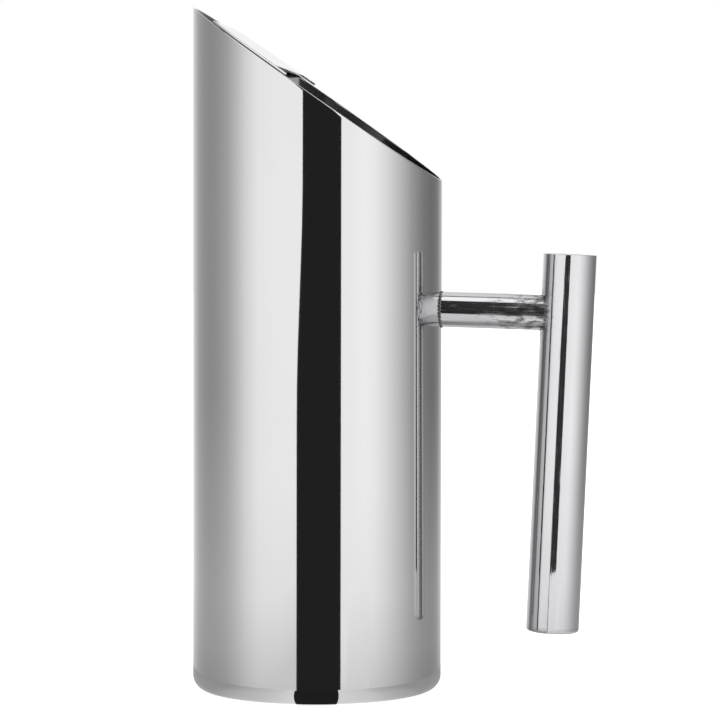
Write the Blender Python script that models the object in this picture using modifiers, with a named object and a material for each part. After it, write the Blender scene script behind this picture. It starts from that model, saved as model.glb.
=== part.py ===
"""Slant-top water pitcher with an ice guard and a bar handle.

A slant-cut stainless tube stands on a pressed base pan. A flat ice guard bridges the mouth behind
the spout. One short tube arm, welded to the body, carries a capped bar grip. Nothing moves.

Units are metres and +Z is up. The origin is the middle of the base's underside, on the body's
axis. +X points to the handle and the spout's tip is at -X.
"""
import math

import bmesh
import bpy
from mathutils import Vector

# Clearance kept between pieces that touch
GAP = 0.0003

# Body tube, base pan and the seam that joins them
BODY_RADIUS = 0.0508
WALL = 0.0008
TIP_HEIGHT = 0.2786
RIM_SLOPE = 0.696
BASE_CORNER = 0.0055
PAN_HEIGHT = 0.0070
SEAM_HEIGHT = 0.0008

# Ice guard, a plate that lies on the rim between two straight edges
GUARD_THICKNESS = 0.0009
GUARD_FRONT_X = -0.0388
GUARD_REAR_X = -0.0122
GUARD_FILLET = 0.0050
GUARD_HORN = 0.0006
TACK_RADIUS = 0.0008
TACK_STARTS_X = {"front": -0.0350, "rear": -0.0240}
TACK_LENGTH_X = 0.0070

# Handle arm, a short tube that starts at the body wall and drops a little on its way out
ARM_RADIUS = 0.0072
ARM_WALL = 0.0010
ARM_HEIGHT = 0.15535
ARM_DROP = 0.027
ARM_START = -0.0050
ARM_END = 0.0470
BEAD_RADIUS = 0.0010
BEAD_OFFSET = 0.0002

# Grip, a capped tube whose lower end leans towards the body
GRIP_RADIUS = 0.01075
GRIP_WALL = 0.0010
GRIP_TOP = Vector((0.1031, 0.0, 0.1779))
GRIP_BOTTOM = Vector((0.0964, 0.0, 0.0244))
TOP_CAP_HEIGHT = 0.0012
BOTTOM_CAP_HEIGHT = 0.0026
GRIP_SEAM_HEIGHT = 0.0005
TOP_CAP_BEVEL = 0.0002
BOTTOM_CAP_BEVEL = 0.0014

# Facets
BODY_STEPS = 96
GRIP_STEPS = 48
CORNER_STEPS = 6
BEAD_STEPS = 48
EDGE_STEPS = 20
TACK_STEPS = 6
CAP_EDGE_STEPS = 4
TUBE_RESOLUTION = 2
MERGE_DISTANCE = 0.00001

RIM_ANGLE = math.atan(RIM_SLOPE)
RIM_NORMAL = Vector((math.sin(RIM_ANGLE), 0.0, math.cos(RIM_ANGLE)))
RIM_MIDDLE = Vector((0.0, 0.0, TIP_HEIGHT - RIM_SLOPE * BODY_RADIUS))
TUBE_BOTTOM = PAN_HEIGHT + GAP + SEAM_HEIGHT + GAP

# Colour and roughness of the polished pieces, the guard's plate, the dressed seams and the beads
MIRROR = ((0.78, 0.78, 0.79, 1.0), 0.06)
PLATE = ((0.78, 0.78, 0.79, 1.0), 0.10)
DRESSED = ((0.68, 0.68, 0.69, 1.0), 0.12)
BEAD = ((0.45, 0.44, 0.44, 1.0), 0.30)


def clear_scene():
    """Remove every object of the open file."""
    for item in list(bpy.data.objects):
        bpy.data.objects.remove(item, do_unlink=True)


def new_collection(name):
    """Add an empty collection to the scene."""
    collection = bpy.data.collections.new(name)
    bpy.context.scene.collection.children.link(collection)
    return collection


def move_to(item, collection):
    """Put an object in one collection only."""
    for owner in list(item.users_collection):
        owner.objects.unlink(item)
    collection.objects.link(item)
    return item


def steel(name, colour, roughness):
    """A bare metal material of its own for one piece."""
    material = bpy.data.materials.new(name)
    material.use_nodes = True
    shader = material.node_tree.nodes["Principled BSDF"]
    shader.inputs["Base Color"].default_value = colour
    shader.inputs["Metallic"].default_value = 1.0
    shader.inputs["Roughness"].default_value = roughness
    return material


def finish(item, surface):
    """Give a piece its material and smooth shading with sharp edges kept."""
    colour, roughness = surface
    item.data.materials.clear()
    item.data.materials.append(steel(item.name + "_steel", colour, roughness))
    item.data.shade_smooth()
    item.data.set_sharp_from_angle(angle=math.radians(35.0))
    return item


def as_cutter(item, cutters):
    """Mark an object as a tool for booleans that is never part of the pitcher."""
    item.hide_render = True
    item.display_type = "WIRE"
    return move_to(item, cutters)


def cut(item, tool):
    """Take a tool's shape away from a piece."""
    boolean = item.modifiers.new("cut_" + tool.name, "BOOLEAN")
    boolean.operation = "DIFFERENCE"
    boolean.solver = "EXACT"
    boolean.object = tool


def cylinder(name, radius, depth, steps, collection, fill="NGON"):
    """A cylinder about Z, centred on its own origin."""
    bpy.ops.mesh.primitive_cylinder_add(vertices=steps, radius=radius, depth=depth, end_fill_type=fill)
    item = bpy.context.object
    item.name = name
    item.data.name = name
    return move_to(item, collection)


def open_tube(name, radius, wall, depth, steps, collection):
    """A tube about Z with open ends, its wall turned inwards from the outer radius."""
    item = cylinder(name, radius, depth, steps, collection, fill="NOTHING")
    shell = item.modifiers.new("wall", "SOLIDIFY")
    shell.thickness = wall
    shell.offset = -1.0
    shell.use_even_offset = True
    return item


def turned(name, profile, steps, collection):
    """Turn an open profile of (radius, height) points, listed down its outer side, about Z."""
    mesh = bpy.data.meshes.new(name)
    points = [(radius, 0.0, height) for radius, height in profile]
    mesh.from_pydata(points, [(i, i + 1) for i in range(len(points) - 1)], [])
    item = bpy.data.objects.new(name, mesh)
    collection.objects.link(item)
    screw = item.modifiers.new("turn", "SCREW")
    screw.steps = steps
    screw.render_steps = steps
    screw.use_merge_vertices = True
    screw.merge_threshold = MERGE_DISTANCE
    return item


def curve_mesh(name, points, cyclic, collection, bevel=0.0, extrude=0.0):
    """Make a mesh from a poly spline: a round tube where bevel is set, else a filled flat plate."""
    data = bpy.data.curves.new(name + "_curve", "CURVE")
    data.dimensions = "2D" if extrude else "3D"
    data.fill_mode = "BOTH" if extrude else "FULL"
    data.extrude = extrude
    data.bevel_depth = bevel
    data.bevel_resolution = TUBE_RESOLUTION
    data.use_fill_caps = not cyclic
    spline = data.splines.new("POLY")
    spline.points.add(len(points) - 1)
    for spot, point in zip(spline.points, points):
        spot.co = (*point, 1.0)
    spline.use_cyclic_u = cyclic
    guide = bpy.data.objects.new(name + "_curve", data)
    collection.objects.link(guide)
    depsgraph = bpy.context.evaluated_depsgraph_get()
    mesh = bpy.data.meshes.new_from_object(guide.evaluated_get(depsgraph))
    mesh.name = name
    form = bmesh.new()
    form.from_mesh(mesh)
    bmesh.ops.remove_doubles(form, verts=form.verts, dist=MERGE_DISTANCE)
    bmesh.ops.recalc_face_normals(form, faces=form.faces)
    form.to_mesh(mesh)
    form.free()
    item = bpy.data.objects.new(name, mesh)
    collection.objects.link(item)
    item.matrix_world = guide.matrix_world
    bpy.data.objects.remove(guide, do_unlink=True)
    return item


def arc(centre_x, centre_y, radius, start, end, steps):
    """Points of an arc between two angles in degrees, both ends included."""
    angles = [math.radians(start + (end - start) * i / steps) for i in range(steps + 1)]
    return [(centre_x + radius * math.cos(a), centre_y + radius * math.sin(a)) for a in angles]


def empty(name, location, lean, collection):
    """An empty that carries pieces whose own Z axis leans towards +X by the given angle."""
    item = bpy.data.objects.new(name, None)
    item.location = location
    item.rotation_euler = (0.0, lean, 0.0)
    collection.objects.link(item)
    return item


def add_body(parts, cutters):
    """The slant-cut tube, the pressed pan under it and the flush seam between them."""
    spare = 0.010
    length = TIP_HEIGHT - TUBE_BOTTOM + spare
    tube = open_tube("body_tube", BODY_RADIUS, WALL, length, BODY_STEPS, parts)
    tube.location.z = TUBE_BOTTOM + length / 2

    block_size = 0.300
    bpy.ops.mesh.primitive_cube_add(size=block_size)
    block = as_cutter(bpy.context.object, cutters)
    block.name = "rim_block"
    block.rotation_euler = (0.0, RIM_ANGLE, 0.0)
    block.location = RIM_MIDDLE + RIM_NORMAL * (block_size / 2)
    cut(tube, block)

    inner = BODY_RADIUS - WALL
    corner_x = BODY_RADIUS - BASE_CORNER
    profile = [(inner, PAN_HEIGHT), (BODY_RADIUS, PAN_HEIGHT)]
    profile += arc(corner_x, BASE_CORNER, BASE_CORNER, 0.0, -90.0, CORNER_STEPS)
    profile += [(0.0, 0.0)]
    underside = len(profile)
    profile += [(0.0, WALL)]
    profile += arc(corner_x, BASE_CORNER, BASE_CORNER - WALL, -90.0, 0.0, CORNER_STEPS)
    profile += [(inner, PAN_HEIGHT)]
    outer_side, inner_side = profile[:underside], profile[underside:]
    pan = turned("base_pan", outer_side + inner_side, BODY_STEPS, parts)
    close_profile(pan, len(outer_side))

    seam = open_tube("base_seam_weld", BODY_RADIUS, WALL, SEAM_HEIGHT, BODY_STEPS, parts)
    seam.location.z = PAN_HEIGHT + GAP + SEAM_HEIGHT / 2

    finish(tube, MIRROR)
    finish(pan, MIRROR)
    finish(seam, DRESSED)


def close_profile(item, first_inner):
    """Drop the profile's edge along the axis and join its two equal end points."""
    form = bmesh.new()
    form.from_mesh(item.data)
    form.verts.ensure_lookup_table()
    on_axis = {form.verts[first_inner - 1], form.verts[first_inner]}
    for edge in list(form.edges):
        if set(edge.verts) == on_axis:
            form.edges.remove(edge)
    bmesh.ops.remove_doubles(form, verts=form.verts, dist=MERGE_DISTANCE)
    form.to_mesh(item.data)
    form.free()


def guard_outline():
    """The guard's outline in its own plane: x along the slope, y across."""
    half = []
    front = math.acos(-GUARD_FRONT_X / BODY_RADIUS)
    horn_x = GUARD_REAR_X + GUARD_FILLET
    rear = math.acos(-horn_x / BODY_RADIUS)
    for i in range(EDGE_STEPS + 1):
        angle = front + (rear - front) * i / EDGE_STEPS
        half.append((-BODY_RADIUS * math.cos(angle), BODY_RADIUS * math.sin(angle)))
    fillet_y = BODY_RADIUS * math.sin(rear) - GUARD_HORN - GUARD_FILLET
    half += arc(horn_x, fillet_y, GUARD_FILLET, 90.0, 180.0, CORNER_STEPS)
    mirrored = [(x, -y) for x, y in reversed(half)]
    return [(x / math.cos(RIM_ANGLE), y, 0.0) for x, y in half + mirrored]


def add_guard(parts):
    """The ice guard on the rim, and the tacks that hold it to the wall from below."""
    half_thickness = GUARD_THICKNESS / 2
    guard = curve_mesh("ice_guard", guard_outline(), True, parts, extrude=half_thickness)
    guard.rotation_euler = (0.0, RIM_ANGLE, 0.0)
    guard.location = RIM_MIDDLE + RIM_NORMAL * (GAP + half_thickness)

    radius = BODY_RADIUS - WALL - GAP - TACK_RADIUS
    below_rim = (TACK_RADIUS + GAP) / math.cos(RIM_ANGLE)
    for place, start in TACK_STARTS_X.items():
        for hand, side in (("left", 1.0), ("right", -1.0)):
            points = []
            for i in range(TACK_STEPS + 1):
                x = start + TACK_LENGTH_X * i / TACK_STEPS
                y = side * math.sqrt(radius ** 2 - x ** 2)
                points.append((x, y, RIM_MIDDLE.z - RIM_SLOPE * x - below_rim))
            name = "guard_tack_" + place + "_" + hand
            tack = curve_mesh(name, points, False, parts, bevel=TACK_RADIUS)
            finish(tack, BEAD)
    finish(guard, PLATE)


def reach(origin, direction, axis_point, axis, radius, side):
    """Where a line meets a long cylinder: its first point for side -1, its last for side +1."""
    start = origin - axis_point
    start = start - axis * start.dot(axis)
    run = direction - axis * direction.dot(axis)
    a = run.dot(run)
    b = start.dot(run)
    c = start.dot(start) - radius ** 2
    distance = (-b + side * math.sqrt(b * b - a * c)) / a
    return origin + direction * distance


def saddle(arm_origin, arm_axis, axis_point, axis, radius, side):
    """The closed line on which a weld bead runs, round the arm and on a larger tube."""
    across = Vector((0.0, 1.0, 0.0))
    upright = arm_axis.cross(across)
    ring = ARM_RADIUS + BEAD_OFFSET
    points = []
    for i in range(BEAD_STEPS):
        angle = 2.0 * math.pi * i / BEAD_STEPS
        spoke = across * (ring * math.cos(angle)) + upright * (ring * math.sin(angle))
        points.append(reach(arm_origin + spoke, arm_axis, axis_point, axis, radius, side))
    return points


def add_handle(parts, cutters):
    """The arm, its two weld beads, and the capped grip tube."""
    rise = GRIP_TOP - GRIP_BOTTOM
    grip_axis = rise.normalized()
    lean = math.atan2(rise.x, rise.z)
    grip_frame = empty("grip_frame", (GRIP_TOP + GRIP_BOTTOM) / 2, lean, parts)
    top = rise.length / 2

    def on_grip(item, height):
        item.parent = grip_frame
        item.location.z = height

    def grip_ring(name, height):
        return open_tube(name, GRIP_RADIUS, GRIP_WALL, height, GRIP_STEPS, parts)

    top_cap = cylinder("grip_top_cap", GRIP_RADIUS, TOP_CAP_HEIGHT, GRIP_STEPS, parts)
    on_grip(top_cap, top - TOP_CAP_HEIGHT / 2)
    top_seam = grip_ring("grip_top_seam_weld", GRIP_SEAM_HEIGHT)
    top_seam_z = top - TOP_CAP_HEIGHT - GAP - GRIP_SEAM_HEIGHT / 2
    on_grip(top_seam, top_seam_z)
    tube_top = top_seam_z - GRIP_SEAM_HEIGHT / 2 - GAP

    bottom_cap = cylinder("grip_bottom_cap", GRIP_RADIUS, BOTTOM_CAP_HEIGHT, GRIP_STEPS, parts)
    on_grip(bottom_cap, -top + BOTTOM_CAP_HEIGHT / 2)
    bottom_seam = grip_ring("grip_bottom_seam_weld", GRIP_SEAM_HEIGHT)
    bottom_seam_z = -top + BOTTOM_CAP_HEIGHT + GAP + GRIP_SEAM_HEIGHT / 2
    on_grip(bottom_seam, bottom_seam_z)
    tube_bottom = bottom_seam_z + GRIP_SEAM_HEIGHT / 2 + GAP

    tube = grip_ring("grip_tube", tube_top - tube_bottom)
    on_grip(tube, (tube_top + tube_bottom) / 2)
    round_end(top_cap, TOP_CAP_BEVEL, 1.0)
    round_end(bottom_cap, BOTTOM_CAP_BEVEL, -1.0)

    arm_origin = Vector((BODY_RADIUS, 0.0, ARM_HEIGHT))
    arm_axis = Vector((1.0, 0.0, -ARM_DROP)).normalized()
    arm_frame = empty("arm_frame", arm_origin, math.pi / 2 + math.atan(ARM_DROP), parts)
    arm = open_tube("handle_arm", ARM_RADIUS, ARM_WALL, ARM_END - ARM_START, GRIP_STEPS, parts)
    arm.parent = arm_frame
    arm.location.z = (ARM_START + ARM_END) / 2

    reach_past = 0.040
    body_tool = as_cutter(
        cylinder("body_tool", BODY_RADIUS + GAP, 2 * reach_past, BODY_STEPS, cutters), cutters)
    body_tool.location.z = ARM_HEIGHT
    grip_tool = as_cutter(
        cylinder("grip_tool", GRIP_RADIUS + GAP, rise.length + reach_past, GRIP_STEPS, cutters), cutters)
    grip_tool.parent = grip_frame
    arm_tool = as_cutter(
        cylinder("arm_tool", ARM_RADIUS + GAP, 2 * reach_past, GRIP_STEPS, cutters), cutters)
    arm_tool.parent = arm_frame
    arm_tool.location.z = (ARM_START + ARM_END) / 2
    cut(arm, body_tool)
    cut(arm, grip_tool)

    upright = Vector((0.0, 0.0, 1.0))
    body_line = saddle(arm_origin, arm_axis, Vector(), upright, BODY_RADIUS + BEAD_OFFSET, 1.0)
    body_bead = curve_mesh("arm_body_weld", body_line, True, parts, bevel=BEAD_RADIUS)
    cut(body_bead, body_tool)
    cut(body_bead, arm_tool)
    grip_line = saddle(arm_origin, arm_axis, GRIP_BOTTOM, grip_axis, GRIP_RADIUS + BEAD_OFFSET, -1.0)
    grip_bead = curve_mesh("arm_grip_weld", grip_line, True, parts, bevel=BEAD_RADIUS)
    cut(grip_bead, grip_tool)
    cut(grip_bead, arm_tool)

    for item in (tube, top_cap, bottom_cap, arm):
        finish(item, MIRROR)
    for item in (top_seam, bottom_seam):
        finish(item, DRESSED)
    for item in (body_bead, grip_bead):
        finish(item, BEAD)


def round_end(item, width, side):
    """Round the rim of a cap's outer face, which is its upper one for side +1."""
    form = bmesh.new()
    form.from_mesh(item.data)
    rim = [e for e in form.edges if all(v.co.z * side > 0.0 for v in e.verts)]
    bmesh.ops.bevel(form, geom=rim, offset=width, segments=CAP_EDGE_STEPS, profile=0.5,
                     affect="EDGES")
    form.to_mesh(item.data)
    form.free()


def main():
    """Build the pitcher."""
    clear_scene()
    parts = new_collection("slant_pitcher")
    cutters = new_collection("cutters")
    add_body(parts, cutters)
    add_guard(parts)
    add_handle(parts, cutters)
    bpy.context.view_layer.update()


main()
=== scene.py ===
"""Looks of the slant-top water pitcher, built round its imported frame.

The pitcher is made of polished stainless steel: a slant-cut tube on a pressed base pan, a flat ice
guard on the rim, and a capped bar grip on one welded arm. Units are metres, +Z is up, +X points to
the handle and the body's axis is the Z axis.
"""

import logging
import math
from collections.abc import Callable, Iterator
from contextlib import contextmanager
from dataclasses import dataclass, field
from enum import Enum

import bmesh
import bpy
from bmesh.types import BMEdge, BMFace
from bpy.types import ColorRamp, Material, Node, NodeSocket, NodeTree, Object
from mathutils import Matrix, Vector


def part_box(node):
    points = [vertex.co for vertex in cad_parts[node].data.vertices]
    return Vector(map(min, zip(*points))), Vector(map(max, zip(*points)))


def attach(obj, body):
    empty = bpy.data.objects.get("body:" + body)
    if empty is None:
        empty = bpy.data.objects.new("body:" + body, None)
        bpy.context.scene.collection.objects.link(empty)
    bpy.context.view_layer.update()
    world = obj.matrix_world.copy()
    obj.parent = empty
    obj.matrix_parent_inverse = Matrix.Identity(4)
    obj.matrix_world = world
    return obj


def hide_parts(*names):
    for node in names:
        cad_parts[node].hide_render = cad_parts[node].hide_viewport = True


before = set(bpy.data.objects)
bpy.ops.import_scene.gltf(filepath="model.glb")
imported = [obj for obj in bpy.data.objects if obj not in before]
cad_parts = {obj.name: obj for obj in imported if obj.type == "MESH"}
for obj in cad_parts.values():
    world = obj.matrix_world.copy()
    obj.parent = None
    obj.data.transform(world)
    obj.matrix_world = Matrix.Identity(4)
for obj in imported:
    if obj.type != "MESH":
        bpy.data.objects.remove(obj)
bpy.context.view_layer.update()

LOG = logging.getLogger("pitcher")
MM = 0.001
ROOT = "root"
UP = Vector((0.0, 0.0, 1.0))


# ---------------------------------------------------------------- colours and shader nodes

def linear(code: str) -> tuple[float, float, float, float]:
    """Turn an sRGB hex colour into the linear colour that shaders use.

    Args:
        code: a colour such as "#C8C8CA".

    Returns:
        Linear red, green, blue and an alpha of 1.
    """
    parts = [int(code[i:i + 2], 16) / 255.0 for i in (1, 3, 5)]
    red, green, blue = [p / 12.92 if p <= 0.04045 else ((p + 0.055) / 1.055) ** 2.4 for p in parts]
    return red, green, blue, 1.0


def add(tree: NodeTree, kind: str, settings: dict | None = None,
        links: dict | None = None) -> Node:
    """Add one node, with its settings and links.

    Args:
        tree: the node tree that the node goes into.
        kind: the node's type, such as "TexNoise", without its ShaderNode prefix.
        settings: a value for each input socket, by name or number, or for each property.
        links: the output socket that feeds each input socket, by name or number.

    Returns:
        The new node.
    """
    node = tree.nodes.new("ShaderNode" + kind)
    for key, value in (settings or {}).items():
        if isinstance(key, int) or key in node.inputs:
            node.inputs[key].default_value = value
        else:
            setattr(node, key, value)
    for key, source in (links or {}).items():
        tree.links.new(source, node.inputs[key])
    return node


# ---------------------------------------------------------------- modelling helpers

def deselect() -> None:
    """Deselect every object, because operators act on all that is selected."""
    bpy.ops.object.select_all(action="DESELECT")


def apply_place() -> None:
    """Put the selected object's place into its mesh, so that the object sits at the origin."""
    bpy.ops.object.transform_apply(location=True, rotation=True, scale=True)


def pick_only(item: Object) -> None:
    """Select and activate one object, and no other.

    Args:
        item: the object to work on.
    """
    deselect()
    item.select_set(True)
    bpy.context.view_layer.objects.active = item


@contextmanager
def editing(item: Object) -> Iterator[None]:
    """Hold one object in edit mode for as long as the with block lasts.

    Args:
        item: the mesh object to edit.
    """
    pick_only(item)
    bpy.ops.object.mode_set(mode="EDIT")
    yield
    bpy.ops.object.mode_set(mode="OBJECT")


class Pick(Enum):
    """The kinds of mesh element that a test can select."""

    VERTS = "VERT"
    EDGES = "EDGE"
    FACES = "FACE"


def select(item: Object, kind: Pick, test: Callable[..., bool]) -> None:
    """Select the elements of the edited mesh that pass a test, and no others.

    Args:
        item: the object in edit mode.
        kind: which elements are tested.
        test: takes one bmesh element and says whether it is selected.
    """
    bpy.ops.mesh.select_mode(type=kind.value)
    bpy.ops.mesh.select_all(action="DESELECT")
    form = bmesh.from_edit_mesh(item.data)
    elements = {Pick.VERTS: form.verts, Pick.EDGES: form.edges, Pick.FACES: form.faces}[kind]
    for element in [each for each in elements if test(each)]:
        element.select_set(True)
    form.select_flush_mode()
    bmesh.update_edit_mesh(item.data)


def edge_line(edge: BMEdge) -> Vector:
    """The unit direction of an edge."""
    return (edge.verts[1].co - edge.verts[0].co).normalized()


def middle(element: BMEdge | BMFace) -> Vector:
    """The mean of an edge's or a face's corners."""
    corners = [vert.co for vert in element.verts]
    return sum(corners, Vector()) / len(corners)


def apply_modifiers(item: Object) -> None:
    """Apply every modifier of an object, first to last.

    Args:
        item: the object whose modifiers become part of its mesh.
    """
    pick_only(item)
    for name in [modifier.name for modifier in item.modifiers]:
        bpy.ops.object.modifier_apply(modifier=name)


def settle(item: Object, smooth_angle: float = 40.0) -> Object:
    """Apply a piece's modifiers and place, so that it sits at the origin, and shade it smooth.

    Args:
        item: the finished piece.
        smooth_angle: edges turned by more than this many degrees stay sharp.

    Returns:
        The same piece.
    """
    apply_modifiers(item)
    apply_place()
    bpy.ops.object.shade_smooth_by_angle(angle=math.radians(smooth_angle))
    return item


def add_wall(item: Object, thickness: float) -> None:
    """Give an open surface a wall that lies inside it.

    Args:
        item: an object whose open surface faces outwards.
        thickness: the wall's thickness.
    """
    shell = item.modifiers.new("wall", "SOLIDIFY")
    shell.thickness = thickness
    shell.offset = -1.0
    shell.use_even_offset = True
    apply_modifiers(item)


def soften_edges(item: Object, width: float, segments: int = 3, angle: float = 40.0) -> None:
    """Round an object's sharp edges while its broad faces keep their own normals.

    Args:
        item: the object to bevel.
        width: the bevel's width.
        segments: steps round the bevel.
        angle: edges turned by more than this many degrees are rounded.
    """
    bevel = item.modifiers.new("soft_edges", "BEVEL")
    bevel.width = width
    bevel.segments = segments
    bevel.limit_method = "ANGLE"
    bevel.angle_limit = math.radians(angle)
    bevel.harden_normals = True
    pick_only(item)
    bpy.ops.object.shade_smooth()


def cylinder(name: str, radius: float, depth: float, sides: int, capped: bool,
             place: Matrix | None = None) -> Object:
    """Start a piece from a cylinder about its own Z axis.

    Args:
        name: the new object's name.
        radius: the cylinder's radius.
        depth: its length.
        sides: facets round it.
        capped: whether its ends are closed.
        place: where it stands; None leaves it centred on the origin.

    Returns:
        The new object, active.
    """
    deselect()
    fill = "NGON" if capped else "NOTHING"
    bpy.ops.mesh.primitive_cylinder_add(vertices=sides, radius=radius, depth=depth, end_fill_type=fill)
    item = bpy.context.object
    item.name = name
    item.data.name = name
    if place is not None:
        item.matrix_world = place
    return item


def add_rows(item: Object, rows: int) -> None:
    """Cut a tube across into rows, by its edges that run along its own Z axis.

    Args:
        item: the tube.
        rows: how many cuts each long edge gets.
    """
    with editing(item):
        select(item, Pick.EDGES, lambda edge: abs(edge_line(edge).dot(UP)) > 0.999)
        bpy.ops.mesh.subdivide(number_cuts=rows)


def drop(item: Object) -> None:
    """Remove a tool that has done its cutting, with its mesh.

    Args:
        item: the tool.
    """
    mesh = item.data
    bpy.data.objects.remove(item, do_unlink=True)
    bpy.data.meshes.remove(mesh)


def carve(item: Object, tool: Object) -> None:
    """Cut a closed tool out of a closed piece, and remove the tool.

    Args:
        item: the piece that is cut.
        tool: the shape that is taken away.
    """
    boolean = item.modifiers.new("carve", "BOOLEAN")
    boolean.operation = "DIFFERENCE"
    boolean.solver = "EXACT"
    boolean.object = tool
    apply_modifiers(item)
    drop(tool)


def standing(origin: Vector, axis: Vector) -> Matrix:
    """A place whose Z axis runs along a given line and whose Y axis stays level.

    Args:
        origin: the place's origin.
        axis: the unit direction of its Z axis, in the XZ plane.

    Returns:
        The place as a matrix.
    """
    across = Vector((0.0, 1.0, 0.0))
    forward = across.cross(axis).normalized()
    turn = Matrix((forward, across, axis)).transposed().to_4x4()
    return Matrix.Translation(origin) @ turn


# ---------------------------------------------------------------- finishes

class Grain(Enum):
    """Which way the fine lines of a metal's surface run."""

    UPRIGHT = (1.0, 1.0, 0.0)
    LEVEL_X = (0.0, 1.0, 1.0)
    ROUND = (0.0, 0.0, 1.0)


# Hairline scratches, about 0.4 mm wide and 11 mm long: drawn coarser than real ones, so that they show
SCRATCHES_PER_METRE = (2600.0, 90.0)
SCRATCH_LEAN = (0.15, 0.35, 0.2)
SCRATCH_CUT = (0.59, 0.72)
# Heat stains, about 6 mm long and 2 mm wide, and how much thicker they lie in a patch's middle
STAINS_PER_METRE = (170.0, 520.0, 520.0)
STAIN_CUT = (0.60, 0.72)
STAIN_GATHER = 0.16
# A film left by hands scatters widely, and the steel's own colour drifts a little
FILM_ROUGHNESS = 0.5
TINT_LOW = 0.94


@dataclass(frozen=True)
class WornPatch:
    """A spot round which heat or handling left a piece duller than the rest."""

    centre: tuple[float, float, float]
    near: float
    far: float
    haze: float
    stain: float

    def share(self, tree: NodeTree, point: NodeSocket) -> NodeSocket:
        """How far each spot lies inside the patch.

        Args:
            tree: the material's nodes.
            point: the piece's coordinates.

        Returns:
            1 near the patch's centre, falling to 0 at its far distance.
        """
        away = add(tree, "VectorMath", {"operation": "DISTANCE", 1: self.centre}, {0: point})
        settings = {"From Min": self.far, "From Max": self.near, "interpolation_type": "SMOOTHSTEP"}
        return add(tree, "MapRange", settings, {"Value": away.outputs["Value"]}).outputs["Result"]

    def smudges(self, tree: NodeTree, point: NodeSocket,
                share: NodeSocket) -> NodeSocket:
        """Dark heat stains, long in the grain's direction and thick inside the patch.

        Args:
            tree: the material's nodes.
            point: the piece's coordinates.
            share: how far each spot lies inside the patch.

        Returns:
            What to multiply the steel's colour by.
        """
        long = add(tree, "Mapping", {"Scale": STAINS_PER_METRE}, {"Vector": point})
        cloud = add(tree, "TexNoise", {"Scale": 1.0, "Detail": 4.0, "Roughness": 0.65},
                    {"Vector": long.outputs["Vector"]}).outputs["Fac"]
        raised = add(tree, "Math", {"operation": "MULTIPLY_ADD", 1: STAIN_GATHER}, {0: share, 2: cloud})
        cut = {"From Min": STAIN_CUT[0], "From Max": STAIN_CUT[1], "To Max": self.stain}
        mark = add(tree, "MapRange", cut, {"Value": raised.outputs[0]}).outputs["Result"]
        dark = add(tree, "Math", {"operation": "MULTIPLY"}, {0: mark, 1: share}).outputs[0]
        return add(tree, "Math", {"operation": "SUBTRACT", 0: 1.0}, {1: dark}).outputs[0]


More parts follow.
